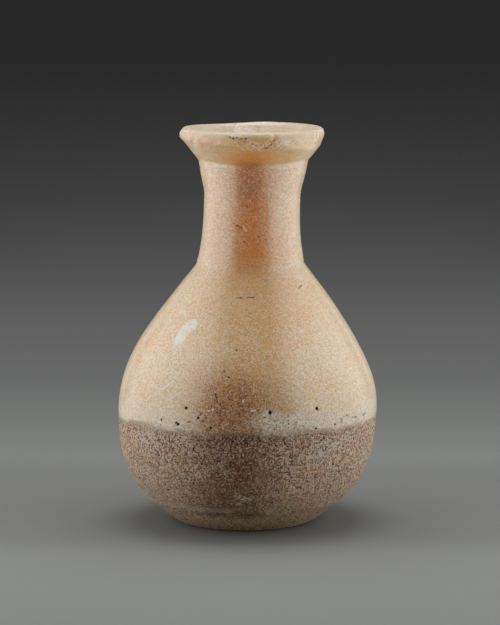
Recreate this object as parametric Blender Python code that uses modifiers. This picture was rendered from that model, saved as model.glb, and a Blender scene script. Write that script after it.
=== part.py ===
"""Long-necked stone jar: a pear-shaped body on a small flat foot, a waisted neck and a flaring rim.

It is carved from one block of banded travertine and drilled out from the mouth, so it is one hollow
solid. Units are metres, +Z is up, and the origin is under the belly's centre, on the surface that
the foot stands on.
"""

import math

import bpy
from mathutils import Matrix, Vector
from mathutils.geometry import interpolate_bezier

# The outside of the body, from the foot up
FOOT_RADIUS = 0.0219
FOOT_ROUNDING = 0.0008
BELLY_RADIUS = 0.0411
BELLY_HEIGHT = 0.0362
BODY_HEIGHT = 0.0820
NECK_FOOT_RADIUS = 0.0169

# The outside of the neck, measured up from its foot
NECK_LENGTH = 0.0327
WAIST_RADIUS = 0.0152
WAIST_RISE = 0.0212
COLLAR_RADIUS = 0.0172

# The rim, above the crease where the neck ends
RIM_HEIGHT = 0.0103
LIP_RADIUS = 0.0227
LIP_EDGE_DROP = 0.0035
LIP_TOP_RADIUS = 0.0212
LIP_LAND = 0.0030

# The hollow
NECK_WALL = 0.0042
BODY_WALL = 0.0070
FLOOR_THICKNESS = 0.0100
FLOOR_ROUNDING = 0.0090
FUNNEL_DEPTH = 0.0120

# Slopes of the outline, from the vertical, in degrees
FOOT_SLOPE = 58.7
SHOULDER_SLOPE = 37.4
NECK_FOOT_SLOPE = 6.1
COLLAR_SLOPE = 7.0
FUNNEL_SLOPE = 39.0

# How far each curve keeps its end slopes, as a share of the height between its ends
FOOT_PULL, BELLY_PULL_BELOW = 0.60, 0.34
BELLY_PULL_ABOVE, SHOULDER_PULL = 0.33, 0.48
NECK_FOOT_PULL, WAIST_PULL_BELOW = 0.23, 0.71
WAIST_PULL_ABOVE, COLLAR_PULL = 0.30, 0.59
FUNNEL_PULL = 0.40

# How far a rounded corner reaches towards the corner it rounds, which makes it a quarter circle
ROUNDING_REACH = 0.55

# The jar stands a little out of true: it moves this much along +X for each metre of height
LEAN = 0.0213

# Rows of faces along each stretch of the outline, and faces round it
FOOT_ROWS = 2
BODY_ROWS = 9
NECK_ROWS = 6
RIM_ROWS = 2
LIP_ROWS = 3
BORE_ROWS = 3
FUNNEL_ROWS = 4
FLOOR_ROWS = 3
SEGMENTS = 64

STONE_COLOUR = (0.62, 0.41, 0.25, 1.0)
STONE_ROUGHNESS = 0.55
CREASE_ANGLE = math.radians(24)
MERGE_DISTANCE = 0.00001

TOP = BODY_HEIGHT + NECK_LENGTH + RIM_HEIGHT
BORE_RADIUS = WAIST_RADIUS - NECK_WALL


def outline_point(radius, height):
    return Vector((radius, 0.0, height))


def rising(slope_degrees):
    """Unit direction in the outline's plane that climbs outwards, the given angle from the vertical."""
    slope = math.radians(slope_degrees)
    return outline_point(math.sin(slope), math.cos(slope))


def climb(start, start_slope, start_pull, end, end_slope, end_pull, rows):
    """Curve from one point up to another that leaves and arrives at the given slopes."""
    span = end.z - start.z
    leave = start + rising(start_slope) * start_pull * span
    arrive = end - rising(end_slope) * end_pull * span
    return interpolate_bezier(start, leave, arrive, end, rows + 1)


def rounded_corner(before, corner, after, rows):
    """Quarter-round stretch between two points that lie on the two sides of a corner."""
    leave = before.lerp(corner, ROUNDING_REACH)
    arrive = after.lerp(corner, ROUNDING_REACH)
    return interpolate_bezier(before, leave, arrive, after, rows + 1)


def body_outside():
    """The body from the edge of its foot, over the belly, to the foot of the neck."""
    foot = outline_point(FOOT_RADIUS, 0.0)
    belly = outline_point(BELLY_RADIUS, BELLY_HEIGHT)
    shoulder = outline_point(NECK_FOOT_RADIUS, BODY_HEIGHT)
    lower = climb(foot, FOOT_SLOPE, FOOT_PULL, belly, 0.0, BELLY_PULL_BELOW, BODY_ROWS)
    upper = climb(belly, 0.0, BELLY_PULL_ABOVE, shoulder, -SHOULDER_SLOPE, SHOULDER_PULL, BODY_ROWS)
    return lower + upper[1:]


def foot_edge(body):
    """The underside's edge, slightly rounded into the first stretch of the body."""
    corner = body[0]
    inwards = corner - outline_point(FOOT_ROUNDING, 0.0)
    upwards = corner + (body[1] - corner).normalized() * FOOT_ROUNDING
    return rounded_corner(inwards, corner, upwards, FOOT_ROWS)


def neck_outside():
    """The neck from its foot, in to the waist, and out to the collar under the rim."""
    foot = outline_point(NECK_FOOT_RADIUS, BODY_HEIGHT)
    waist = outline_point(WAIST_RADIUS, BODY_HEIGHT + WAIST_RISE)
    collar = outline_point(COLLAR_RADIUS, BODY_HEIGHT + NECK_LENGTH)
    lower = climb(foot, -NECK_FOOT_SLOPE, NECK_FOOT_PULL, waist, 0.0, WAIST_PULL_BELOW, NECK_ROWS)
    upper = climb(waist, 0.0, WAIST_PULL_ABOVE, collar, COLLAR_SLOPE, COLLAR_PULL, NECK_ROWS // 2)
    return lower + upper[1:]


def rim_outside():
    """The rim's flare from the collar to the lip's widest edge, and that edge rounded to the flat top."""
    collar = outline_point(COLLAR_RADIUS, TOP - RIM_HEIGHT)
    edge = outline_point(LIP_RADIUS, TOP - LIP_EDGE_DROP)
    top = outline_point(LIP_TOP_RADIUS, TOP)
    flare = [collar.lerp(edge, row / RIM_ROWS) for row in range(RIM_ROWS + 1)]
    shoulder = outline_point(LIP_RADIUS, TOP)
    lip = rounded_corner(edge, shoulder, top, LIP_ROWS)
    return flare + lip[1:]


def inset(line, wall):
    """The line moved towards the axis by a wall's thickness, square to the line at each point."""
    moved = []
    for index, point in enumerate(line):
        before = line[max(index - 1, 0)]
        after = line[min(index + 1, len(line) - 1)]
        along = (after - before).normalized()
        moved.append(point + outline_point(-along.z, along.x) * wall)
    return moved


def cavity(body):
    """The hollow from the middle of its floor up to the bore, a wall's thickness inside the body."""
    rounding_top = FLOOR_THICKNESS + FLOOR_ROUNDING / 2
    side = [point for point in inset(body, BODY_WALL) if point.x > BORE_RADIUS and point.z > rounding_top]
    along_side = (side[1] - side[0]).normalized()
    corner = side[0] - along_side * ((side[0].z - FLOOR_THICKNESS) / along_side.z)
    middle = outline_point(0.0, FLOOR_THICKNESS)
    floor_edge = outline_point(corner.x - FLOOR_ROUNDING, FLOOR_THICKNESS)
    floor = [middle, middle.lerp(floor_edge, 0.5)]
    return floor + rounded_corner(floor_edge, corner, side[0], FLOOR_ROWS) + side[1:]


def bore_and_funnel(cavity_top):
    """The drilled neck, straight up from the hollow, and the mouth that opens out to the lip."""
    rise = (cavity_top.x - BORE_RADIUS) / math.tan(math.radians(SHOULDER_SLOPE))
    bore_foot = outline_point(BORE_RADIUS, cavity_top.z + rise)
    funnel_foot = outline_point(BORE_RADIUS, TOP - FUNNEL_DEPTH)
    mouth = outline_point(LIP_TOP_RADIUS - LIP_LAND, TOP)
    bore = [bore_foot.lerp(funnel_foot, row / BORE_ROWS) for row in range(BORE_ROWS)]
    funnel = climb(funnel_foot, 0.0, FUNNEL_PULL, mouth, FUNNEL_SLOPE, FUNNEL_PULL, FUNNEL_ROWS)
    return bore + funnel


def jar_outline():
    """The whole outline, from the hollow's floor up inside, over the lip and down outside to the foot."""
    body = body_outside()
    hollow = cavity(body)
    inside = hollow + bore_and_funnel(hollow[-1])
    outside_up = foot_edge(body) + body[1:] + neck_outside()[1:] + rim_outside()[1:]
    middle = outline_point(0.0, 0.0)
    underside = [middle.lerp(outside_up[0], 0.5), middle]
    return inside + outside_up[::-1] + underside


def turned(name, outline):
    """Object made by turning an outline round the Z axis."""
    mesh = bpy.data.meshes.new(name + "_outline")
    edges = [(row, row + 1) for row in range(len(outline) - 1)]
    mesh.from_pydata(outline, edges, [])
    turning = bpy.data.objects.new(name + "_outline", mesh)
    bpy.context.scene.collection.objects.link(turning)
    screw = turning.modifiers.new("turn", "SCREW")
    screw.axis = "Z"
    screw.angle = 2 * math.pi
    screw.steps = SEGMENTS
    screw.render_steps = SEGMENTS
    screw.use_merge_vertices = True
    screw.merge_threshold = MERGE_DISTANCE
    evaluated = turning.evaluated_get(bpy.context.evaluated_depsgraph_get())
    solid = bpy.data.meshes.new_from_object(evaluated)
    bpy.data.objects.remove(turning)
    solid.name = name
    return bpy.data.objects.new(name, solid)


def stand_out_of_true(jar):
    """Leans the turned jar along +X about the belly, and leaves its foot and lip level."""
    lean = Matrix.Identity(4)
    lean[0][2] = LEAN
    lean[0][3] = -LEAN * BELLY_HEIGHT
    jar.data.transform(lean)


def stone():
    material = bpy.data.materials.new("travertine")
    material.use_nodes = True
    shader = material.node_tree.nodes["Principled BSDF"]
    shader.inputs["Base Color"].default_value = STONE_COLOUR
    shader.inputs["Roughness"].default_value = STONE_ROUGHNESS
    shader.inputs["Metallic"].default_value = 0.0
    return material


def main():
    for old in list(bpy.data.objects):
        bpy.data.objects.remove(old)
    parts = bpy.data.collections.new("long_necked_jar")
    bpy.context.scene.collection.children.link(parts)
    jar = turned("jar", jar_outline())
    stand_out_of_true(jar)
    jar.data.materials.append(stone())
    jar.data.shade_smooth()
    jar.data.set_sharp_from_angle(angle=CREASE_ANGLE)
    parts.objects.link(jar)


main()
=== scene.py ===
"""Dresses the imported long-necked jar: banded travertine, polished above and weathered below."""

import math
import random
from collections import namedtuple

import bmesh
import bpy
from mathutils import Matrix, Vector, kdtree
from mathutils.bvhtree import BVHTree
from mathutils.geometry import interpolate_bezier, intersect_point_line


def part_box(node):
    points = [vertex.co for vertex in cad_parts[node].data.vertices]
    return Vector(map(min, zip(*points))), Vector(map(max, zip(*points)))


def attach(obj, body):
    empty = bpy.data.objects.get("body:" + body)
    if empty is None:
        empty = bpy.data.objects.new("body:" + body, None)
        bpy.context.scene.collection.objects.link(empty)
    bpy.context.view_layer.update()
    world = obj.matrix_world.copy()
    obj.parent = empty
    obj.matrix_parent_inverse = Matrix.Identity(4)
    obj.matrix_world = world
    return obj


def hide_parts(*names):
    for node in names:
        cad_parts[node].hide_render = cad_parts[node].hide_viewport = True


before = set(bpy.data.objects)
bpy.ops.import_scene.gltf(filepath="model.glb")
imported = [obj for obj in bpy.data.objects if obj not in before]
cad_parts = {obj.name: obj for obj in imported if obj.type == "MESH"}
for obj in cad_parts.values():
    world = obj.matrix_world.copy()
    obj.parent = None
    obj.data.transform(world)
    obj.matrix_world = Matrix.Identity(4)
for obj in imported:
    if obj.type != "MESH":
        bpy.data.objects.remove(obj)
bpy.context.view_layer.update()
mm = 0.001

# The camera
# It stands just under a metre in front of the jar and a little above its lip, and looks slightly
# down through a long lens, as the photograph was taken.
camera_distance = 972.5 * mm
camera_height = 209.3 * mm
camera_aside = 0.78 * mm
looking_down = math.radians(8.38)
photo_width, photo_height = 500, 625
sensor_mm = 36.0
focal_pixels = 3095.0
nearest_seen = 10 * mm

lens = bpy.data.cameras.new("camera")
lens.sensor_width = sensor_mm
lens.lens = focal_pixels * sensor_mm / photo_height
lens.clip_start = nearest_seen
camera = bpy.data.objects.new("camera", lens)
camera.location = (camera_aside, -camera_distance, camera_height)
camera.rotation_euler = (math.radians(90) - looking_down, 0.0, 0.0)
bpy.context.scene.collection.objects.link(camera)
bpy.context.scene.camera = camera

# The turned stone
# The jar is one block of travertine, turned and drilled. Its outline is drawn here from its real
# sizes, then swung round the axis by Geometry Nodes, which also put in what carving by hand and
# long weathering did to the form: a slight lean, an uneven lip, worn ledges and an eaten base.
jar_low, jar_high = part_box("jar")
jar_height = jar_high.z - jar_low.z
belly_radius = (jar_high.y - jar_low.y) / 2
belly_height = 36.2 * mm
foot_radius = 21.9 * mm
foot_rounding = 0.8 * mm
body_height = 82.0 * mm
neck_foot_radius = 16.9 * mm
neck_length = 32.7 * mm
waist_radius = 15.2 * mm
waist_rise = 21.2 * mm
collar_radius = 17.2 * mm
lip_radius = 22.7 * mm
lip_edge_drop = 3.5 * mm
lip_top_radius = 21.2 * mm
lip_land = 3.0 * mm
lip_swell = 0.3 * mm
lip_swell_rise = 0.3 * mm
straight_flare = 0.72
neck_wall = 4.2 * mm
body_wall = 7.0 * mm
floor_thickness = 10.0 * mm
floor_rounding = 9.0 * mm
funnel_depth = 12.0 * mm
bore_radius = waist_radius - neck_wall
collar_height = body_height + neck_length
lean = 0.0213
weather_line = 34.0 * mm
segments = 350

# Slopes in degrees from the vertical, and how far each curve keeps them, as a share of its height
foot_slope, foot_pull = 58.7, 0.60
belly_pull_below, belly_pull_above = 0.34, 0.33
shoulder_slope, shoulder_pull = -37.4, 0.48
neck_foot_slope, neck_foot_pull = -6.1, 0.23
waist_pull_below, waist_pull_above = 0.71, 0.30
collar_slope, collar_pull = 7.0, 0.59
funnel_slope, funnel_pull = 39.0, 0.40
rounding_reach = 0.55
bore_shoulder = 1.3

# How closely the points lie along the outline
fine_rows = 0.66 * mm
body_rows = 1.05 * mm
neck_rows = 1.05 * mm
lip_rows = 0.60 * mm
hidden_rows = 3.2 * mm
hollow_step = 10
rough_points = 24
merge_distance = 0.005 * mm


def place(radius, height):
    """A point of the outline, in the plane that is swung round the axis."""
    return Vector((radius, 0.0, height))


def heading(slope):
    """The direction that climbs outwards at a slope in degrees from the vertical."""
    return place(math.sin(math.radians(slope)), math.cos(math.radians(slope)))


def rows_along(points, spacing):
    """How many rows a stretch needs so that they lie no further apart than the spacing."""
    length = sum((b - a).length for a, b in zip(points, points[1:]))
    return max(2, math.ceil(length / spacing) + 1)


def curve(start, leave, arrive, end, spacing):
    """A Bezier curve with its points at about the spacing."""
    rough = interpolate_bezier(start, leave, arrive, end, rough_points)
    return interpolate_bezier(start, leave, arrive, end, rows_along(rough, spacing))


def climb(start, start_slope, start_pull, end, end_slope, end_pull, spacing):
    """A stretch of the outline that leaves and arrives at the given slopes."""
    rise = end.z - start.z
    leave = start + heading(start_slope) * start_pull * rise
    arrive = end - heading(end_slope) * end_pull * rise
    return curve(start, leave, arrive, end, spacing)


def rounded(before, corner, after, spacing):
    """A quarter round between two points that lie on the two sides of a corner."""
    leave = before.lerp(corner, rounding_reach)
    arrive = after.lerp(corner, rounding_reach)
    return curve(before, leave, arrive, after, spacing)


def straight(start, end, spacing):
    """A straight stretch with its points at about the spacing."""
    rows = rows_along([start, end], spacing)
    return [start.lerp(end, row / (rows - 1)) for row in range(rows)]


def inset(line, wall):
    """The line moved towards the axis by a wall's thickness."""
    moved = []
    for index, point in enumerate(line):
        along = line[min(index + 1, len(line) - 1)] - line[max(index - 1, 0)]
        along.normalize()
        moved.append(point + place(-along.z, along.x) * wall)
    return moved


def chained(*stretches):
    """The stretches one after another, without the points that they share."""
    line = list(stretches[0])
    for stretch in stretches[1:]:
        line += stretch[1:]
    return line


foot = place(foot_radius, 0.0)
belly = place(belly_radius, belly_height)
neck_foot = place(neck_foot_radius, body_height)
waist = place(waist_radius, body_height + waist_rise)
collar = place(collar_radius, collar_height)
lip_edge = place(lip_radius, jar_height - lip_edge_drop)
lip_top = place(lip_top_radius, jar_height)
mouth = place(lip_top_radius - lip_land, jar_height)
funnel_foot = place(bore_radius, jar_height - funnel_depth)

belly_below = climb(foot, foot_slope, foot_pull, belly, 0.0, belly_pull_below, fine_rows)
belly_above = climb(belly, 0.0, belly_pull_above, neck_foot, shoulder_slope, shoulder_pull, body_rows)
foot_corner = rounded(
    foot - place(foot_rounding, 0.0),
    foot,
    foot + heading(foot_slope) * foot_rounding,
    fine_rows,
)
belly_below = [point for point in belly_below if point.z > foot_corner[-1].z]
neck_below = climb(neck_foot, neck_foot_slope, neck_foot_pull, waist, 0.0, waist_pull_below, neck_rows)
neck_above = climb(waist, 0.0, waist_pull_above, collar, collar_slope, collar_pull, neck_rows)
flare = straight(collar, collar.lerp(lip_edge, straight_flare), lip_rows)
lip = curve(
    flare[-1],
    lip_edge + place(lip_swell, lip_swell_rise),
    place(lip_radius + lip_swell, jar_height),
    lip_top,
    lip_rows,
)
land = straight(lip_top, mouth, lip_rows)
funnel = climb(funnel_foot, 0.0, funnel_pull, mouth, funnel_slope, funnel_pull, 2 * lip_rows)

hollow_side = inset(chained(belly_below, belly_above)[::hollow_step], body_wall)
hollow_side = [
    point
    for point in hollow_side
    if point.x > bore_radius + body_rows and point.z > floor_thickness + floor_rounding / 2
]
side_run = (hollow_side[1] - hollow_side[0]).normalized()
hollow_corner = hollow_side[0] - side_run * ((hollow_side[0].z - floor_thickness) / side_run.z)
floor_edge = place(hollow_corner.x - floor_rounding, floor_thickness)
floor_middle = place(0.0, floor_thickness)
hollow_floor = straight(floor_middle, floor_edge, 2 * hidden_rows)
floor_corner = rounded(floor_edge, hollow_corner, hollow_side[0], hidden_rows)
bore_rise = (hollow_side[-1].x - bore_radius) * bore_shoulder
bore_foot = place(bore_radius, hollow_side[-1].z + bore_rise)
bore = straight(bore_foot, funnel_foot, 2 * hidden_rows)

inside = chained(hollow_floor, floor_corner, hollow_side) + chained(bore, funnel)
lower_outside = chained(foot_corner, [foot_corner[-1]] + belly_below, belly_above)
outside = chained(lower_outside, neck_below, neck_above, flare, lip)
underside = straight(place(0.0, 0.0), foot_corner[0], 2 * hidden_rows)
outline = underside[:-1] + outside + land[1:] + inside[::-1][1:]


class Wire:
    """A socket of a node tree. Arithmetic on it adds the Math nodes that work it out."""

    def __init__(self, tree, socket=None):
        self.tree = tree
        self.socket = socket

    def node(self, kind, settings=None, inputs=None, output=0):
        """One output of a new node, after its settings and then its sockets are filled in."""
        made = self.tree.nodes.new(kind)
        for name, value in (settings or {}).items():
            setattr(made, name, value)
        for name, value in (inputs or {}).items():
            if isinstance(value, Wire):
                self.tree.links.new(value.socket, made.inputs[name])
            else:
                made.inputs[name].default_value = value
        return Wire(self.tree, made.outputs[output])

    def beside(self, output):
        """Another output of the same node."""
        return Wire(self.tree, self.socket.node.outputs[output])

    def maths(self, operation, *terms):
        """The result of a Math node on the terms, which are wires or numbers."""
        return self.node("ShaderNodeMath", {"operation": operation}, dict(enumerate(terms)))

    def __add__(self, other):
        return self.maths("ADD", self, other)

    def __radd__(self, other):
        return self.maths("ADD", other, self)

    def __sub__(self, other):
        return self.maths("SUBTRACT", self, other)

    def __rsub__(self, other):
        return self.maths("SUBTRACT", other, self)

    def __mul__(self, other):
        return self.maths("MULTIPLY", self, other)

    def __truediv__(self, other):
        return self.maths("DIVIDE", self, other)

    def __pow__(self, other):
        return self.maths("POWER", self, other)

    def fade(self, start, end):
        """0 up to the start and 1 from the end on, with a smooth rise between them."""
        settings = {"interpolation_type": "SMOOTHSTEP", "clamp": True}
        return self.node("ShaderNodeMapRange", settings, {0: self, 1: start, 2: end, 3: 0.0, 4: 1.0})

    def near(self, middle, reach):
        """1 at the middle, falling smoothly to 0 at the reach on either side."""
        return 1 - (self - middle).absolute().fade(0.0, reach)

    def absolute(self):
        return self.maths("ABSOLUTE", self)

    def rounded_down(self):
        return self.maths("FLOOR", self)

    def larger(self, other):
        return self.maths("MAXIMUM", self, other)

    def grain(self, size, seed, detail=2.0, roughness=0.5):
        """Noise from 0 to 1 over a place, with lumps about as large as the size."""
        settings = {"noise_dimensions": "4D"}
        sockets = {"Vector": self, "W": seed, "Scale": 1 / size, "Detail": detail, "Roughness": roughness}
        return self.node("ShaderNodeTexNoise", settings, sockets)

    def grains(self, size):
        """A different value from 0 to 1 in each of many small cells, packed like the grains of stone."""
        sockets = {"Vector": self, "Scale": 1 / size}
        cells = self.node("ShaderNodeTexVoronoi", {"feature": "F1"}, sockets, "Color")
        return self.node("ShaderNodeSeparateColor", {}, {0: cells})

    def specks(self, size, cover):
        """Small round spots from 0 to 1, of many sizes, which grow and multiply with the cover."""
        soft_edge = 0.07
        sockets = {"Vector": self, "Scale": 1 / size}
        away = self.node("ShaderNodeTexVoronoi", {"feature": "F1"}, sockets)
        share = self.node("ShaderNodeSeparateColor", {}, {0: away.beside("Color")})
        return (share * cover - away).fade(-soft_edge, soft_edge)

    def stretched(self, x, y, z):
        """The place with its axes scaled, which draws out the noise that reads it."""
        return self.node("ShaderNodeVectorMath", {"operation": "MULTIPLY"}, {0: self, 1: (x, y, z)})


def turned_stone_tree():
    """The node tree that swings an outline round the axis, and carves and weathers the result."""
    tree = bpy.data.node_groups.new("turned_stone", "GeometryNodeTree")
    sockets = tree.interface
    sockets.new_socket("Outline", in_out="INPUT", socket_type="NodeSocketGeometry")
    sockets.new_socket("Segments", in_out="INPUT", socket_type="NodeSocketInt")
    heights = ("Belly height", "Body height", "Collar height", "Jar height", "Weather line")
    shifts = ("Collar shift", "Belly shift", "Lip shift", "Lip flange")
    depths = ("Waviness", "Tool marks", "Erosion", "Ledge", "Lip wear")
    for name in heights + shifts + depths + ("Lean", "Seed"):
        sockets.new_socket(name, in_out="INPUT", socket_type="NodeSocketFloat")
    sockets.new_socket("Stone", in_out="INPUT", socket_type="NodeSocketMaterial")
    sockets.new_socket("Jar", in_out="OUTPUT", socket_type="NodeSocketGeometry")
    blank = Wire(tree)
    given = blank.node("NodeGroupInput")
    size = {socket.name: given.beside(socket.name) for socket in given.socket.node.outputs[:-1]}
    seed = size["Seed"]
    lip_start = size["Jar height"] - 5.5 * mm
    lip_full = size["Jar height"] - 2.5 * mm
    collar_shift_reach = 24 * mm
    upper_belly = size["Belly height"] + 21 * mm
    upper_belly_reach = 17 * mm
    ridge_height, ridge_reach = 7.2 * mm, 1.6 * mm

    # A sheet with a column for each step round the axis and a row for each point of the outline
    outline_points = blank.node("GeometryNodeAttributeDomainSize", {}, {0: size["Outline"]})
    sheet = blank.node("GeometryNodeMeshGrid", {}, {2: size["Segments"] + 1, 3: outline_points})
    index = blank.node("GeometryNodeInputIndex")
    column = ((index + 0.5) / outline_points).rounded_down()
    row = index - column * outline_points
    here = blank.node("GeometryNodeInputPosition")
    settings = {"data_type": "FLOAT_VECTOR", "domain": "POINT"}
    drawn = blank.node("GeometryNodeSampleIndex", settings, {0: size["Outline"], 1: here, 2: row})
    drawn = blank.node("ShaderNodeSeparateXYZ", {}, {0: drawn})
    radius, height = drawn, drawn.beside("Z")
    turn = column * (2 * math.pi) / size["Segments"]
    leaning = (height - size["Belly height"]) * size["Lean"]
    shifted = size["Collar shift"] * height.near(size["Collar height"], collar_shift_reach)
    shifted = shifted + size["Belly shift"] * height.near(upper_belly, upper_belly_reach)
    shifted = shifted + size["Lip shift"] * height.fade(lip_start, lip_full)
    across = radius * turn.maths("COSINE", turn) + leaning + shifted
    ahead = radius * turn.maths("SINE", turn)
    swung = blank.node("ShaderNodeCombineXYZ", {}, {0: across, 1: ahead, 2: height})
    solid = blank.node("GeometryNodeSetPosition", {}, {0: sheet, 2: swung})
    solid = blank.node("GeometryNodeMergeByDistance", {}, {0: solid, 2: merge_distance})

    # The surface's height above the true form, along its normal
    split = blank.node("ShaderNodeSeparateXYZ", {}, {0: here})
    side, up = split, split.beside("Z")
    bulges = here.grain(26 * mm, seed, 1.0) + here.grain(9 * mm, seed + 3, 1.0) * 0.35 - 0.675
    strokes = here.stretched(0.35, 0.35, 1.0).grain(2.2 * mm, seed + 7, 2.0) - 0.5
    rings = here.stretched(0.06, 0.06, 1.0).grain(1.6 * mm, seed + 9, 1.0) - 0.5
    left_side = 0.5 - side / (2 * neck_foot_radius)
    shoulder_ledge = up.near(size["Body height"] + 0.6 * mm, 2.0 * mm) * left_side
    foot_ridge = up.near(ridge_height, ridge_reach)
    collar_ledge = up.near(size["Collar height"] - 0.5 * mm, 1.0 * mm)
    lip_here = up.fade(lip_start, lip_full)
    lip_chips = here.grain(3.0 * mm, seed + 13, 2.0).fade(0.56, 0.74)
    flange_left = up.near(size["Jar height"] - 2.4 * mm, 2.2 * mm) * side.fade(-8 * mm, -20 * mm)
    hollow_right = up.near(size["Jar height"] - 4.2 * mm, 2.0 * mm) * side.fade(10 * mm, 20 * mm)
    flange = flange_left - hollow_right * 0.6
    worn_back = side.near(-7 * mm, 14 * mm) * split.beside("Y").fade(4 * mm, 12 * mm) * lip_here
    line_wander = (here.grain(14 * mm, seed + 11, 3.0, 0.6) - 0.5) * 6 * mm
    below_line = size["Weather line"] + line_wander - up
    weathered = below_line.fade(-2.0 * mm, 3.0 * mm)
    near_line = below_line.fade(-3 * mm, 3 * mm)
    lumps = here.grain(3.4 * mm, seed + 19, 2.0) - 0.5
    holes = here.grain(1.5 * mm, seed + 17, 3.0, 0.62)
    eaten = weathered * (0.25 + lumps * 0.9 + holes.fade(0.35, 0.75)) * size["Erosion"]
    relief = bulges * size["Waviness"] + (strokes + rings) * size["Tool marks"] * (1 - weathered)
    relief = relief + (shoulder_ledge + collar_ledge + foot_ridge * 0.6) * size["Ledge"] - eaten
    relief = relief + flange * size["Lip flange"] - worn_back * size["Lip wear"]
    relief = relief - lip_here * lip_chips * size["Lip wear"]
    standing = up.fade(0.2 * mm, 1.6 * mm)
    normal = blank.node("GeometryNodeInputNormal")
    scaling = {"operation": "SCALE"}
    push = blank.node("ShaderNodeVectorMath", scaling, {0: normal, "Scale": relief * standing})
    carved = blank.node("GeometryNodeSetPosition", {}, {0: solid, "Offset": push})
    on_points = {"data_type": "FLOAT", "domain": "POINT"}
    mask = {0: carved, 2: "weathered", 3: near_line}
    carved = blank.node("GeometryNodeStoreNamedAttribute", on_points, mask)
    carved = blank.node("GeometryNodeSetShadeSmooth", {}, {0: carved})
    carved = blank.node("GeometryNodeRealizeInstances", {}, {0: carved})
    carved = blank.node("GeometryNodeSetMaterial", {}, {0: carved, "Material": size["Stone"]})
    tree.links.new(carved.socket, tree.nodes.new("NodeGroupOutput").inputs[0])
    return tree


stone = bpy.data.materials.new("travertine")
stone_sizes = {
    "Segments": segments,
    "Belly height": belly_height,
    "Body height": body_height,
    "Collar height": collar_height,
    "Jar height": jar_height,
    "Weather line": weather_line,
    "Collar shift": 0.18 * mm,
    "Belly shift": -0.38 * mm,
    "Lip shift": -0.40 * mm,
    "Lip flange": 0.55 * mm,
    "Waviness": 0.35 * mm,
    "Tool marks": 0.05 * mm,
    "Erosion": 0.30 * mm,
    "Ledge": 0.25 * mm,
    "Lip wear": 0.45 * mm,
    "Lean": lean,
    "Seed": 5.0,
    "Stone": stone,
}
outline_mesh = bpy.data.meshes.new("outline")
outline_mesh.from_pydata(outline, [(row, row + 1) for row in range(len(outline) - 1)], [])
turning = bpy.data.objects.new("outline", outline_mesh)
bpy.context.scene.collection.objects.link(turning)
swing = turning.modifiers.new("turned_stone", "NODES")
swing.node_group = turned_stone_tree()
for socket in swing.node_group.interface.items_tree:
    if socket.name in stone_sizes:
        swing[socket.identifier] = stone_sizes[socket.name]
turned = turning.evaluated_get(bpy.context.evaluated_depsgraph_get())
jar_mesh = bpy.data.meshes.new_from_object(turned)
turning.modifiers.remove(swing)
bpy.data.objects.remove(turning)
jar_mesh.name = "stone_jar"
jar = bpy.data.objects.new("stone_jar", jar_mesh)
bpy.context.scene.collection.objects.link(jar)

# The scars
# Pits, chips and scratches in the stone, cut where its mesh has first been made finer; the white of a few
# chips is painted highlight. Those on the front lie where the photograph shows them, in its pixels, and
# the camera's rays carry them onto the stone. Those on the other sides are scattered with a fixed seed.
pit_width, pit_steepness, pit_darkness = 0.90 * mm, 0.55, 1.0
rim_pit_darkness = 0.55
slit_width, slit_depth, slit_darkness = 0.55 * mm, 0.16 * mm, 0.55
chip_width, chip_depth, chip_whiteness = 0.66 * mm, 0.05 * mm, 0.80
scuff_width, scuff_depth, scuff_whiteness = 4.9 * mm, 0.03 * mm, 0.62
finest_edge = 0.24 * mm
finer_rounds, finer_margin = 3, 0.5 * mm
paint_gain = 1.6

band_pits = {
    "outer_left": (161.2, 419.7, 2.4),
    "high_left": (186.0, 408.0, 3.6),
    "left_pair_upper": (176.0, 422.8, 2.8),
    "left_pair_lower": (178.0, 424.3, 3.4),
    "inner_left": (198.0, 418.0, 3.0),
    "under_slit": (202.8, 421.3, 2.4),
    "low_left": (210.8, 428.0, 3.0),
    "centre": (270.1, 412.5, 4.2),
    "high_right": (317.0, 408.6, 3.8),
    "low_right": (316.0, 428.5, 2.6),
    "right_of_crust": (335.0, 424.5, 2.2),
    "outer_right": (347.0, 415.6, 2.2),
    "below_crust": (276.0, 446.0, 2.6),
    "belly_low": (228.8, 377.3, 2.3),
    "belly_left": (224.0, 371.0, 2.2),
    "belly_high": (236.4, 350.0, 2.2),
}
rim_pits = {
    "row_first": (230.0, 137.0, 2.2),
    "row_second": (233.4, 138.6, 2.8),
    "row_third": (236.8, 137.6, 1.8),
    "row_fourth": (241.0, 139.4, 2.2),
    "row_fifth": (245.8, 138.6, 2.6),
    "right_first": (270.6, 141.8, 2.2),
    "right_second": (274.0, 140.6, 1.8),
    "left_first": (194.0, 138.2, 1.8),
    "left_second": (199.6, 140.4, 2.0),
}
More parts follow.
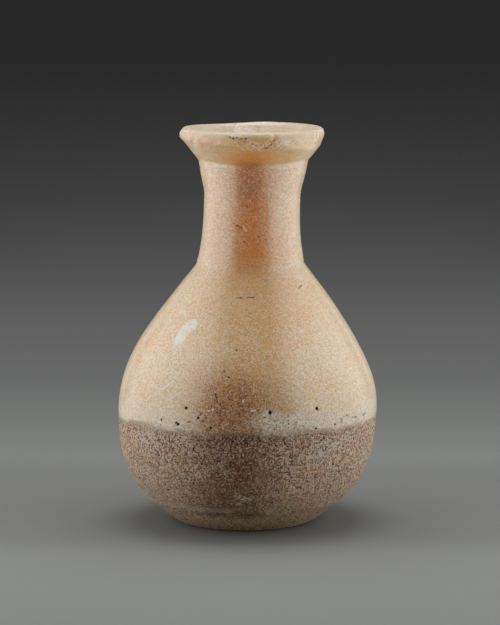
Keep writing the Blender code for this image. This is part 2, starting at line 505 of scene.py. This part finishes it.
dark_slits = {
    "left_long": ((187.2, 421.9), (190.2, 421.9)),
    "left_slanted": ((199.6, 415.4), (202.0, 412.8)),
    "centre_left_slanted": ((212.8, 414.6), (214.8, 412.8)),
    "right_upright": ((341.4, 418.4), (341.7, 421.8)),
    "right_long": ((353.4, 417.5), (356.8, 417.2)),
    "right_slanted": ((363.0, 415.6), (365.2, 413.4)),
    "front_streak": ((215.5, 394.0), (218.0, 403.0)),
    "shoulder_dash_left": ((236.0, 298.0), (242.0, 297.8)),
    "shoulder_dash_right": ((247.0, 297.4), (254.0, 297.2)),
    "shoulder_right": ((298.5, 288.2), (301.6, 285.4)),
    "lower_crack": ((278.0, 472.5), (290.0, 473.0)),
    "lower_band_upper": ((290.2, 453.6), (291.4, 458.6)),
    "lower_band_lower": ((291.0, 461.4), (292.6, 465.2)),
    "rim_crack": ((272.0, 143.7), (264.7, 149.5)),
    "neck_scratch": ((237.0, 225.3), (242.5, 228.4)),
    "neck_speck_left": ((244.0, 241.2), (244.8, 242.4)),
    "neck_speck_right": ((258.6, 236.2), (259.4, 237.6)),
    "neck_speck_high": ((246.8, 206.0), (247.6, 207.2)),
}
# Most of these bare the pale stone. The white on the left end of the lip, along the edge of the rim's row
# of pits and on two pits' edges is painted highlight.
white_chips_and_highlights = {
    "front_dot": ((211.0, 397.0), (211.0, 397.2)),
    "front_dot_low": ((208.0, 411.0), (208.4, 411.2)),
    "left_end": ((121.2, 404.6), (121.4, 407.0)),
    "front_streak": ((243.0, 400.6), (243.4, 402.6)),
    "left_band": ((186.0, 429.7), (187.4, 429.7)),
    "right_upright": ((337.4, 402.2), (337.4, 405.8)),
    "right_dot": ((341.4, 399.0), (341.6, 399.2)),
    "right_end": ((372.2, 403.2), (372.6, 403.6)),
    "centre_streak": ((251.4, 410.6), (255.0, 410.6)),
    "star": ((335.8, 443.6), (339.4, 442.4)),
    "star_low": ((334.6, 446.0), (337.0, 445.4)),
    "star_tail": ((343.6, 439.8), (346.4, 438.8)),
    "right_low_streak": ((329.4, 451.0), (331.4, 449.6)),
    "right_low_dot": ((326.0, 482.3), (326.4, 482.6)),
    "low_dot": ((299.3, 466.5), (299.6, 466.8)),
    "low_smear": ((313.7, 480.0), (313.4, 492.0)),
    "low_smear_foot": ((308.9, 495.0), (308.9, 497.4)),
    "belly_dot_left": ((302.0, 332.0), (302.2, 332.2)),
    "belly_dot_right": ((332.0, 339.0), (332.2, 339.2)),
    "left_streak": ((161.8, 390.0), (173.4, 381.0)),
    "neck_outline": ((242.5, 226.0), (246.0, 231.0)),
    "left_lip_fleck": ((184.4, 131.0), (188.0, 131.4)),
    "rim_fleck_left": ((314.7, 133.6), (314.9, 138.6)),
    "rim_fleck_middle": ((318.2, 132.6), (318.4, 136.4)),
    "rim_fleck_right": ((321.0, 134.2), (321.2, 139.8)),
    "rim_row_edge": ((229.0, 135.6), (247.0, 136.6)),
    "pit_edge_left": ((208.4, 410.6), (208.8, 410.4)),
    "pit_edge_right": ((212.6, 410.0), (213.2, 409.8)),
}
scuffs = {
    "left_scuff": ((179.0, 340.0), (186.0, 328.0)),
    "left_scuff_top": ((185.0, 330.0), (191.6, 325.0)),
}

shape = bmesh.new()
shape.from_mesh(jar_mesh)
stone_skin = BVHTree.FromBMesh(shape)


def seen_at(column, row):
    """The point of the stone that the camera sees at a pixel of the photograph."""
    aim = Vector((column - photo_width / 2, photo_height / 2 - row, -focal_pixels))
    aim = camera.matrix_basis.to_3x3() @ aim
    return stone_skin.ray_cast(camera.location, aim.normalized())[0]


def out_from_axis(azimuth, height):
    """The point of the outside at an azimuth in degrees from the front, and a height."""
    turn = math.radians(azimuth)
    outwards = Vector((math.sin(turn), -math.cos(turn), 0.0))
    start = Vector((0.0, 0.0, height)) + outwards * 2 * belly_radius
    return stone_skin.ray_cast(start, -outwards)[0]


Scar = namedtuple("Scar", "first last width depth shade mask")
pixel_size = camera_distance / focal_pixels
scars = []
for pits, darkness in ((band_pits, pit_darkness), (rim_pits, rim_pit_darkness)):
    for column, row, pixels_across in pits.values():
        spot = seen_at(column, row)
        width = pixels_across * pixel_size
        scars.append(Scar(spot, spot, width, width * pit_steepness, darkness, "pitted"))
scar_kinds = (
    (dark_slits, slit_width, slit_depth, slit_darkness, "pitted"),
    (white_chips_and_highlights, chip_width, chip_depth, chip_whiteness, "bared"),
    (scuffs, scuff_width, scuff_depth, scuff_whiteness, "bared"),
)
for group, *cut in scar_kinds:
    for first, last in group.values():
        scars.append(Scar(seen_at(*first), seen_at(*last), *cut))

chance = random.Random(11)
scattered_pits, scattered_chips = 46, 30
pit_azimuths, chip_azimuths = (72, 288), (75, 285)
pit_height_mm, pit_spread_mm = 37.0, 3.2
chip_heights_mm, chip_drift_mm = (14.0, 70.0), 1.5
pit_width_least, pit_width_most = 0.6, 1.3
for _ in range(scattered_pits):
    azimuth = chance.uniform(*pit_azimuths)
    spot = out_from_axis(azimuth, chance.gauss(pit_height_mm, pit_spread_mm) * mm)
    width = pit_width * chance.uniform(pit_width_least, pit_width_most)
    scars.append(Scar(spot, spot, width, width * pit_steepness, pit_darkness, "pitted"))
for _ in range(scattered_chips):
    azimuth = chance.uniform(*chip_azimuths)
    spot = out_from_axis(azimuth, chance.uniform(*chip_heights_mm) * mm)
    drift = Vector((0.0, 0.0, chance.uniform(-chip_drift_mm, chip_drift_mm) * mm))
    scars.append(Scar(spot, spot + drift, chip_width, chip_depth, chip_whiteness, "bared"))


def points_of(scar):
    """Points along a scar, close enough together for the search round each."""
    steps = max(1, math.ceil((scar.last - scar.first).length / (scar.width / 2)))
    return [scar.first.lerp(scar.last, step / steps) for step in range(steps + 1)]


def vertices_near(scar, reach):
    """The indices of the mesh's points that lie within reach of a scar."""
    near = set()
    for point in points_of(scar):
        near.update(index for _, index, _ in vertex_map.find_range(point, reach))
    return near


def map_vertices():
    """A map of the mesh's points as they are now, to search by place."""
    points = kdtree.KDTree(len(shape.verts))
    for index, vertex in enumerate(shape.verts):
        points.insert(vertex.co, index)
    points.balance()
    return points


for _ in range(finer_rounds):
    vertex_map = map_vertices()
    shape.verts.ensure_lookup_table()
    coarse = set()
    for scar in scars:
        if scar.width >= scuff_width:
            continue
        for index in vertices_near(scar, scar.width / 2 + finer_margin):
            edges = shape.verts[index].link_edges
            coarse.update(edge for edge in edges if edge.calc_length() > finest_edge)
    bmesh.ops.subdivide_edges(shape, edges=list(coarse), cuts=1, use_grid_fill=True)

vertex_map = map_vertices()
shape.verts.ensure_lookup_table()
shape.normal_update()
painted = {name: shape.verts.layers.float.new(name) for name in ("pitted", "bared")}
sunk = {}
for scar in scars:
    layer = painted[scar.mask]
    for index in vertices_near(scar, scar.width):
        vertex = shape.verts[index]
        share = 0.0
        if scar.last != scar.first:
            share = intersect_point_line(vertex.co, scar.first, scar.last)[1]
        nearest = scar.first.lerp(scar.last, min(max(share, 0.0), 1.0))
        away = (vertex.co - nearest).length / (scar.width / 2)
        bite = max(0.0, 1.0 - away * away)
        sunk[index] = max(sunk.get(index, 0.0), scar.depth * bite)
        vertex[layer] = max(vertex[layer], min(1.0, bite * paint_gain) * scar.shade)
normals = {index: shape.verts[index].normal.copy() for index in sunk}
for index, depth in sunk.items():
    shape.verts[index].co -= normals[index] * depth
bmesh.ops.triangulate(shape, faces=[face for face in shape.faces if len(face.verts) > 4])
shape.to_mesh(jar_mesh)
shape.free()

# The travertine
# Warm orange and cream stone, banded a little off the level. It is polished but dusty above, more
# yellow at the rim, and has a grey-brown skin where its lower third lay in damp ground.


def travertine_nodes(material):
    """The stone's colour, gloss and fine relief, from noise and from where on the jar a point lies."""
    material.use_nodes = True
    tree = material.node_tree
    blank = Wire(tree)
    here = blank.node("ShaderNodeTexCoord", output="Object")
    split = blank.node("ShaderNodeSeparateXYZ", {}, {0: here})
    side, ahead, up = split, split.beside("Y"), split.beside("Z")

    def carried(name):
        """A mask that the mesh carries on its points."""
        return blank.node("ShaderNodeAttribute", {"attribute_name": name}, output="Fac")

    def mix(share, first, second):
        """The first colour, with a share of it given over to the second."""
        first_socket, second_socket, mixed_output = 6, 7, 2
        sockets = {0: share, first_socket: first, second_socket: second}
        return blank.node("ShaderNodeMix", {"data_type": "RGBA"}, sockets, mixed_output)

    def layered(colour, *layers):
        """The colour with others laid over it in turn, each by its own share."""
        for share, layer in layers:
            colour = mix(share, colour, layer)
        return colour

    near_line = carried("weathered")
    pitted = carried("pitted")
    bared = carried("bared")

    # Patterns in the stone
    facing = (0 - ahead).fade(0.0, 20 * mm)
    clouds = here.grain(20 * mm, 1.0, 3.0)
    bands = here.stretched(0.45, 0.45, 1.6).grain(8 * mm, 2.0, 4.0, 0.65)
    mottle = here.grain(3.2 * mm, 3.0, 4.0, 0.65)
    turning_marks = here.stretched(0.22, 0.22, 1.0).grain(1.2 * mm, 10.0, 3.0, 0.6)
    brushed = here.stretched(0.16, 0.16, 1.0).grain(1.1 * mm, 11.0, 3.0, 0.65)
    speckle = here.stretched(0.6, 0.6, 1.1).grain(0.95 * mm, 4.0, 3.0, 0.75)
    crystals = here.stretched(0.8, 0.8, 1.0).grains(0.30 * mm)
    wander = here.grain(7 * mm, 6.0, 3.0, 0.6) - 0.5
    grit = here.stretched(1.0, 1.0, 0.75).grain(0.66 * mm, 8.0, 3.0, 0.75)
    fine_grit = here.grains(0.31 * mm)
    white_specks = here.specks(0.48 * mm, 0.60)
    brown_specks = here.stretched(1.0, 1.0, 0.8).specks(0.46 * mm, 0.54)

    # The polished stone, cream and tan with an orange heart. The orange heart on the body's front and the
    # deep orange stripe down the neck's front are partly the stone's colour and partly painted shade,
    # darker and more orange where the front gets no light.
    cream = (0.94, 0.655, 0.315, 1.0)
    tan = (0.93, 0.54, 0.20, 1.0)
    amber = (1.0, 0.49, 0.14, 1.0)
    deep_orange = (0.92, 0.29, 0.035, 1.0)
    heart_and_shade_height, heart_and_shade_rise = 80 * mm, 46 * mm
    stripe_and_shade_half_width = 10 * mm
    heart_and_front_shade = side.near(4 * mm, 34 * mm) * up.near(heart_and_shade_height, heart_and_shade_rise) * facing
    on_neck = up.fade(body_height - 6 * mm, body_height + 6 * mm)
    stripe_and_front_shade = side.near(1.0 * mm, stripe_and_shade_half_width) * facing * on_neck
    colour = layered(
        mix((clouds * 0.5 + bands * 0.5).fade(0.36, 0.60), tan, cream),
        ((heart_and_front_shade + (bands - 0.5) * 0.8).fade(0.1, 0.8) * 0.8, amber),
        (on_neck * 0.16 + stripe_and_front_shade * 0.80, deep_orange),
    )

    # The rim, which is more golden, with the neck's dark core under it and the dust in the mouth. The
    # deeper gold on the rim's front and the dark core down the neck's front are partly the stone's colour
    # and partly painted shade. The upper flare is painted darker, a painted shade that tones down the
    # light from above.
    ochre = (0.95, 0.55, 0.15, 1.0)
    straw = (1.0, 0.75, 0.38, 1.0)
    rim_shade = (0.62, 0.38, 0.12, 1.0)
    gold = (0.90, 0.42, 0.06, 1.0)
    umber = (0.50, 0.135, 0.012, 1.0)
    lemon = (1.0, 0.72, 0.27, 1.0)
    dust = (1.0, 0.93, 0.80, 1.0)
    brown = (0.15, 0.055, 0.018, 1.0)
    lip_cream = (0.76, 0.66, 0.48, 1.0)
    mouth_dust = (0.71, 0.61, 0.45, 1.0)
    on_rim = (up + wander * 3 * mm).fade(collar_height - 2.2 * mm, collar_height + 1.3 * mm)
    rim_heart_and_front_shade = side.near(1 * mm, 15 * mm) * up.near(collar_height + 0.8 * mm, 7 * mm) * facing
    upper_flare = up.fade(collar_height + 2.3 * mm, collar_height + 4.8 * mm)
    lower_flare = up.fade(collar_height + 3.3 * mm, collar_height - 0.7 * mm)
    rim_colour = layered(
        mix(brushed.fade(0.42, 0.58), ochre, straw),
        (upper_flare * 0.30, rim_shade),
        ((rim_heart_and_front_shade * 1.3 + (brushed - 0.5) * 1.2).fade(0.1, 0.9), gold),
    )
    core_edge = side + wander * 2 * mm
    core_and_front_shade = core_edge.near(0.6 * mm, 5.6 * mm).fade(0.0, 0.35) * facing
    core_and_front_shade = core_and_front_shade * up.fade(collar_height - 18.7 * mm, collar_height - 6.7 * mm)
    core_and_front_shade = core_and_front_shade * up.fade(collar_height + 2.8 * mm, collar_height - 0.7 * mm)
    from_axis = (side * side + ahead * ahead) ** 0.5
    in_mouth = from_axis.fade(mouth.x + 0.6 * mm, mouth.x - 0.6 * mm)
    in_mouth = in_mouth * up.fade(jar_height - 9 * mm, jar_height - 7 * mm)
    on_lip = up.fade(jar_height - 2.6 * mm, jar_height - 0.6 * mm)
    on_top = in_mouth.larger(on_lip)
    crumbly_row = up.near(jar_height - 3.8 * mm, 3.0 * mm)
    rim_crumbs = on_rim * crumbly_row * mottle.fade(0.44, 0.54) * (1 - on_top)
    colour = layered(
        colour,
        (on_rim * (1 - stripe_and_front_shade * lower_flare * 0.5), rim_colour),
        (core_and_front_shade * (0.40 + mottle.fade(0.4, 0.6) * 0.30), umber),
        (rim_crumbs * here.specks(0.62 * mm, 0.90), lemon),
        (rim_crumbs * here.specks(0.52 * mm, 0.70), dust),
        (rim_crumbs * here.specks(0.55 * mm, 0.56) * 0.7, brown),
        (on_lip * 0.9, lip_cream),
        (in_mouth * 0.9, mouth_dust),
    )

    # The pale band over the damp line, the painted highlights along the ledges by the collar and the
    # neck's foot, the dust and the grains
    buff = (0.91, 0.72, 0.48, 1.0)
    band_brown = (0.40, 0.21, 0.090, 1.0)
    chalk = (0.95, 0.87, 0.73, 1.0)
    rust = (0.66, 0.25, 0.045, 1.0)
    fawn = (0.54, 0.32, 0.13, 1.0)
    pale_band_top = weather_line + 8 * mm
    pale_band = (pale_band_top + wander * 9 * mm - up).fade(0.0, 5 * mm)
    # The pale lines along the ledges by the collar and the neck's foot are painted highlights on their
    # edges.
    crease_width, crease_away = 1.1 * mm, 0.6 * mm
    uneven_up = up + wander * 1.5 * mm
    ledge_highlights = uneven_up.near(collar_height - crease_away, crease_width)
    neck_foot_highlight = uneven_up.near(body_height + crease_away, crease_width)
    ledge_highlights = ledge_highlights + neck_foot_highlight * (0.15 + side.fade(1 * mm, 8 * mm) * 0.35)
    ledge_highlights = ledge_highlights * (1 - stripe_and_front_shade) * (mottle - wander * 0.5).fade(0.35, 0.55)
    # The dust thins on the front heart and the neck's stripe, so its pale specks are partly dust and
    # partly painted highlights, the glints of the lit sides.
    dust_and_glint_share = (1 - heart_and_front_shade * 0.4 - stripe_and_front_shade * 0.5) * (1 - on_rim * 0.65)
    below_rim = 1 - on_rim * 0.8
    pale_grains = crystals.fade(0.66, 0.88) * (0.35 + speckle.fade(0.42, 0.60) * 0.35)
    dark_grains = crystals.fade(0.34, 0.06) * (0.20 + speckle.fade(0.56, 0.42) * 0.45)
    grain_colour = mix(on_neck * 0.6 + heart_and_front_shade * 0.6, fawn, rust)
    colour = layered(
        colour,
        (pale_band * 0.7, buff),
        (pale_band * here.specks(0.64 * mm, 0.50) * 0.75, band_brown),
        (ledge_highlights * 0.8, chalk),
        (turning_marks.fade(0.50, 0.62) * dust_and_glint_share * 0.22, chalk),
        (mottle.fade(0.52, 0.66) * dust_and_glint_share * 0.25, chalk),
        (pale_grains * dust_and_glint_share, dust),
        (dark_grains * (0.70 + on_neck * 0.30) * below_rim, grain_colour),
        (white_specks * dust_and_glint_share * 0.8, dust),
        (brown_specks * below_rim * (0.60 + stripe_and_front_shade * 0.3), grain_colour),
    )

    # The brown stain down the front, from the middle of the belly to the foot, and the core's specks. The
    # stain and its specks are partly the stone's own stain and partly painted shade, where the front gets
    # no light.
    tea = (0.68, 0.28, 0.070, 1.0)
    stain_and_shade_brown = (0.30, 0.100, 0.020, 1.0)
    stain_and_shade_middle, stain_and_shade_reach = -3.6 * mm, 25 * mm
    stain_and_shade_top, stain_and_shade_full = 66 * mm, 26 * mm
    stain_and_front_shade = side.near(stain_and_shade_middle, stain_and_shade_reach) * (stain_and_shade_top - up).fade(0.0, stain_and_shade_full) * facing
    stained_and_shaded = (stain_and_front_shade + (mottle - 0.5) * 0.5).fade(0.0, 1.15)
    soaked_and_shaded = here.stretched(1.1, 1.1, 0.9).specks(0.50 * mm, stained_and_shaded * 0.88)
    soaked_and_shaded_grains = (fine_grit + (grit - 0.5) * 0.8).fade(0.40, 0.95) * stained_and_shaded * 0.9
    core_specks = here.specks(0.50 * mm, core_and_front_shade * 0.60) * 0.6
    colour = layered(
        colour,
        (stained_and_shaded * 0.80, tea),
        (soaked_and_shaded.larger(soaked_and_shaded_grains).larger(core_specks), stain_and_shade_brown),
        (white_specks * stained_and_shaded * 0.35, dust),
    )

    # The weathered skin, which crumbles most under the line
    dark_skin = (0.10, 0.028, 0.005, 1.0)
    brown_skin = (1.0, 0.56, 0.29, 1.0)
    grey_skin = (1.0, 0.67, 0.43, 1.0)
    mauve_skin = (0.86, 0.54, 0.37, 1.0)
    umber_skin = (0.56, 0.28, 0.12, 1.0)
    stained_and_shaded_skin = (0.24, 0.072, 0.014, 1.0)
    foot_tan = (1.0, 0.66, 0.36, 1.0)
    skin_dust = (1.0, 0.86, 0.70, 1.0)
    blotches = here.grain(6.5 * mm, 7.0, 4.0, 0.65)
    haze = here.grain(9 * mm, 12.0, 3.0, 0.6).fade(0.52, 0.68)
    runs = here.stretched(1.0, 1.0, 0.22).grain(2.6 * mm, 9.0, 3.0, 0.6)
    weathered = near_line + (grit - 0.5) * 0.9 + (fine_grit - 0.5) * 0.3 + wander * 0.5
    weathered = weathered.fade(0.30, 0.65)
    tan_top, ring_top = 18 * mm, 7.5 * mm
    low_down = (tan_top + wander * 14 * mm - up).fade(0.0, 10 * mm)
    foot_ring = (ring_top + wander * 6 * mm - up).fade(0.0, 3 * mm)
    under_line = up.fade(weather_line - 14 * mm, weather_line - 2 * mm) * (1 - stained_and_shaded)
    dark_edge_start = weather_line - 5.5 * mm
    dark_edge = (up + wander * 3 * mm - dark_edge_start).fade(0.0, 4 * mm)
    dark_edge = dark_edge * side.near(4 * mm, 30 * mm) * facing
    # The flanks get more pale flecks, partly dust and partly painted light on the sides that the side
    # panels light.
    on_flanks = side.absolute().fade(14 * mm, 34 * mm)
    crumbly = 0.1 + (up - 4 * mm).fade(0.0, 26 * mm) * 0.45 + blotches.fade(0.42, 0.58) * 0.45
    crumbs = grit + (fine_grit - 0.5) * 0.85 + (blotches - 0.5) * 0.35
    dust_and_flank_light = 0.30 + haze * 0.50 + crumbly * 0.20 + on_flanks * 0.30
    skin_holes = here.stretched(1.2, 1.2, 0.9).specks(0.60 * mm, 0.28 + crumbly * 0.20)
    flecks = here.stretched(1.0, 1.0, 0.85).specks(0.62 * mm, 0.28 + dust_and_flank_light * 0.34)
    ring_height, ring_width, ring_slope = 8.8 * mm, 1.5 * mm, 0.03
    ring_line = (up + wander * 3 * mm - side * ring_slope).near(ring_height, ring_width)
    ring_line = ring_line * (mottle - side / (60 * mm)).fade(0.35, 0.60)
    skin = layered(
        mix(blotches.fade(0.38, 0.62), brown_skin, grey_skin),
        (low_down * 0.7, foot_tan),
        (stained_and_shaded, stained_and_shaded_skin),
        (foot_ring, foot_tan),
        (under_line * blotches.fade(0.40, 0.56) * 0.6, mauve_skin),
        (mottle.fade(0.50, 0.64) * blotches.fade(0.56, 0.44) * 0.5, umber_skin),
        (haze * (1 - stained_and_shaded * 0.6) * 0.40, skin_dust),
        (dark_edge * 0.45, dark_skin),
        (crumbs.fade(0.38, 0.27) * (0.60 + crumbly * 0.40), dark_skin),
        (crumbs.fade(0.54, 0.64) * dust_and_flank_light * (1 - stained_and_shaded * 0.40), skin_dust),
        (skin_holes, dark_skin),
        (flecks * (1 - stained_and_shaded * 0.4), skin_dust),
        (ring_line * 0.32, chalk),
        (runs.fade(0.55, 0.72) * 0.30, chalk),
    )
    colour = mix(weathered, colour, skin)

    # The crust on the line, and the scars. The pits and slits are painted dark to near black, painted
    # shade in their hollows.
    crust_grey = (1.0, 0.77, 0.53, 1.0)
    crust_white = (1.0, 0.91, 0.75, 1.0)
    crust_brown = (0.30, 0.15, 0.065, 1.0)
    scraped_and_highlight_white = (1.0, 0.95, 0.86, 1.0)
    hole_shade = (0.06, 0.020, 0.006, 1.0)
    crust_middle, crust_reach = 11 * mm, 19 * mm
    crust_height, crust_rise = weather_line + 3 * mm, 8 * mm
    crust = side.near(crust_middle, crust_reach) * up.near(crust_height, crust_rise) * facing
    crusted = (crust * 1.2 + (grit - 0.5) * 2.0 + wander * 1.9).fade(0.40, 0.95)
    crust_grains = grit * 0.5 + fine_grit * 0.5
    ragged = (grit - 0.5) * 1.8 + (mottle - 0.5) * 1.8 + (fine_grit - 0.5) * 0.5
    # The white of these marks is bared stone, and painted highlight where a mark is one.
    scraped_and_highlit = (bared + ragged * bared.fade(0.0, 0.3)).fade(0.22, 0.62)
    broken = (grit - 0.5) * 1.6 + (fine_grit - 0.5) * 0.5
    broken = broken * pitted.fade(0.0, 0.3) * pitted.fade(0.9, 0.6)
    colour = layered(
        colour,
        (crusted * 0.65, crust_grey),
        (crusted * crust_grains.fade(0.44, 0.28) * 0.8, crust_brown),
        (crusted * here.specks(0.60 * mm, 0.56), crust_brown),
        (crusted * here.specks(0.56 * mm, 0.98), crust_white),
        (scraped_and_highlit * (0.7 + fine_grit * 0.3), scraped_and_highlight_white),
        ((pitted + broken).fade(0.10, 0.80), hole_shade),
    )

    # The polished stone, lit through, and the weathered skin, which isn't
    dull = weathered * (1 - scraped_and_highlit * 0.8) * (1 - crusted * 0.4) * (1 - foot_ring * 0.35)
    dull = dull.larger(pitted.fade(0.2, 0.7))
    fine = speckle * 0.20 * mm + mottle * 0.20 * mm + crystals * 0.035 * mm + turning_marks * 0.08 * mm
    rough = grit * 0.85 * mm + runs * 0.20 * mm + mottle * 0.4 * mm + fine_grit * 0.22 * mm
    relief = fine * (1 - dull) + rough * dull
    bump = blank.node("ShaderNodeBump", {}, {"Strength": 1.0, "Distance": 1.0, "Height": relief})
    coated = 0.75 + on_neck * 0.25 - on_top * 0.7 - (on_rim - on_top) * rim_heart_and_front_shade * 0.6 - stripe_and_front_shade * 0.9
    coated = coated * (1 - pitted.fade(0.0, 0.6)) * (1 - stained_and_shaded * 0.8)
    polished = {
        "Base Color": colour,
        "Normal": bump,
        "Roughness": 0.36 + speckle * 0.2,
        "Specular IOR Level": 0.7,
        "Coat Weight": coated,
        "Coat Roughness": 0.27,
        "Coat IOR": 1.95,
        "Sheen Weight": 0.06,
        "Sheen Roughness": 0.45,
        "Subsurface Weight": 0.6,
        "Subsurface Radius": (1.0, 0.50, 0.22),
        "Subsurface Scale": 5 * mm,
    }
    skinned = {
        "Base Color": colour,
        "Normal": bump,
        "Roughness": 0.75,
        "Specular IOR Level": 0.15,
        "Sheen Weight": 0.16,
        "Sheen Roughness": 0.60,
        "Sheen Tint": (1.0, 0.76, 0.54, 1.0),
    }
    below = blank.node("ShaderNodeBsdfPrincipled", {}, skinned)
    above = blank.node("ShaderNodeBsdfPrincipled", {}, polished)
    both = blank.node("ShaderNodeMixShader", {}, {0: dull, 1: above, 2: below})
    tree.links.new(both.socket, tree.nodes["Material Output"].inputs["Surface"])
    tree.nodes.remove(tree.nodes["Principled BSDF"])


travertine_nodes(stone)
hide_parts("jar")
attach(jar, "root")

# The floor
# A pale level sheet of paper that runs on past the picture. Its grey carries painted shade and light: it
# is darker behind the jar, with a painted shadow in a band by its foot, and paler far back, painted light
# where little light reaches it, so that the picture darkens evenly upwards as the photograph does.
floor_reach, floor_drop = 6.0, 0.05 * mm
front_grey, middle_grey, far_grey = 0.275, 0.16, 0.66
paper_tint = (0.985, 1.02, 0.99)
paper_roughness = 0.9
front_end, middle_start = -0.05, 0.30
middle_end, far_start = 0.40, 1.75
shadow_band_share = 0.18
band_front, band_front_full = -0.060, -0.025
band_back_full, band_back = 0.050, 0.110

sheet = bmesh.new()
bmesh.ops.create_grid(sheet, x_segments=1, y_segments=1, size=floor_reach)
floor_mesh = bpy.data.meshes.new("floor")
sheet.to_mesh(floor_mesh)
sheet.free()
floor_mesh.transform(Matrix.Translation((0.0, 0.0, -floor_drop)))
floor = bpy.data.objects.new("floor", floor_mesh)
bpy.context.scene.collection.objects.link(floor)

paper = bpy.data.materials.new("pale_floor")
paper.use_nodes = True
paper_shader = paper.node_tree.nodes["Principled BSDF"]
paper_wire = Wire(paper.node_tree)
on_paper = paper_wire.node("ShaderNodeTexCoord", output="Object")
back = paper_wire.node("ShaderNodeSeparateXYZ", {}, {0: on_paper}, "Y")
grey = front_grey - back.fade(front_end, middle_start) * (front_grey - middle_grey)
grey = grey + back.fade(middle_end, far_start) * (far_grey - middle_grey)
painted_shadow_band = back.fade(band_front, band_front_full) * back.fade(band_back, band_back_full)
grey = grey * (1 - painted_shadow_band * shadow_band_share)
tinting = {0: paper_tint, "Scale": grey}
tinted = paper_wire.node("ShaderNodeVectorMath", {"operation": "SCALE"}, tinting)
paper.node_tree.links.new(tinted.socket, paper_shader.inputs["Base Color"])
paper_shader.inputs["Roughness"].default_value = paper_roughness
floor_mesh.materials.append(paper)

# The lights
# A tall soft panel stands on the floor at each side of the jar, with a narrow one behind it that edges
# the jar with light, and a glowing board lies on the floor at each side and lifts the lower flanks.
# Another panel hangs over the jar, lights its rim and shoulder, and draws its shadow forwards.
panel_aside = 0.28
panel_height = 0.50
side_panel = (-0.32, 0.24, 1.13)
back_panel = (0.38, 0.48, 1.60)
above_place = Vector((0.0, 0.14, 0.74))
above_side = 0.50
above_strength = 3.5
board_inner, board_outer = 0.13, 0.27
board_height = 1 * mm
board_strength = 0.80
room_grey = (0.03, 0.03, 0.03, 1.0)


def soft_panel(name, place_of_light, aim, width, height, strength):
    """A soft light of a given strength per area, turned to face a point."""
    light = bpy.data.lights.new(name, "AREA")
    light.shape = "RECTANGLE"
    light.size = width
    light.size_y = height
    light.energy = strength * width * height * math.pi
    panel = bpy.data.objects.new(name, light)
    panel.location = place_of_light
    panel.rotation_euler = (aim - place_of_light).to_track_quat("-Z", "Y").to_euler()
    panel.visible_camera = False
    bpy.context.scene.collection.objects.link(panel)


for side_name, hand in (("left", -1), ("right", 1)):
    for part_name, (near_end, far_end, strength) in (("side", side_panel), ("back", back_panel)):
        standing = Vector((hand * panel_aside, (near_end + far_end) / 2, panel_height / 2))
        axis = Vector((0.0, standing.y, standing.z))
        name = "panel_" + side_name + "_" + part_name
        soft_panel(name, standing, axis, far_end - near_end, panel_height, strength)
    board_aside = hand * (board_inner + board_outer) / 2
    lying = Vector((board_aside, (side_panel[0] + side_panel[1]) / 2, board_height))
    ceiling = lying + Vector((0.0, 0.0, 1.0))
    board_width, board_length = board_outer - board_inner, side_panel[1] - side_panel[0]
    soft_panel("board_" + side_name, lying, ceiling, board_width, board_length, board_strength)
lip_middle = Vector((0.0, 0.0, jar_height))
soft_panel("panel_above", above_place, lip_middle, above_side, above_side, above_strength)

world = bpy.data.worlds.new("studio")
world.use_nodes = True
world.node_tree.nodes["Background"].inputs["Color"].default_value = room_grey
bpy.context.scene.world = world
bpy.context.scene.view_settings.view_transform = "Standard"
bpy.context.scene.cycles.use_denoising = True
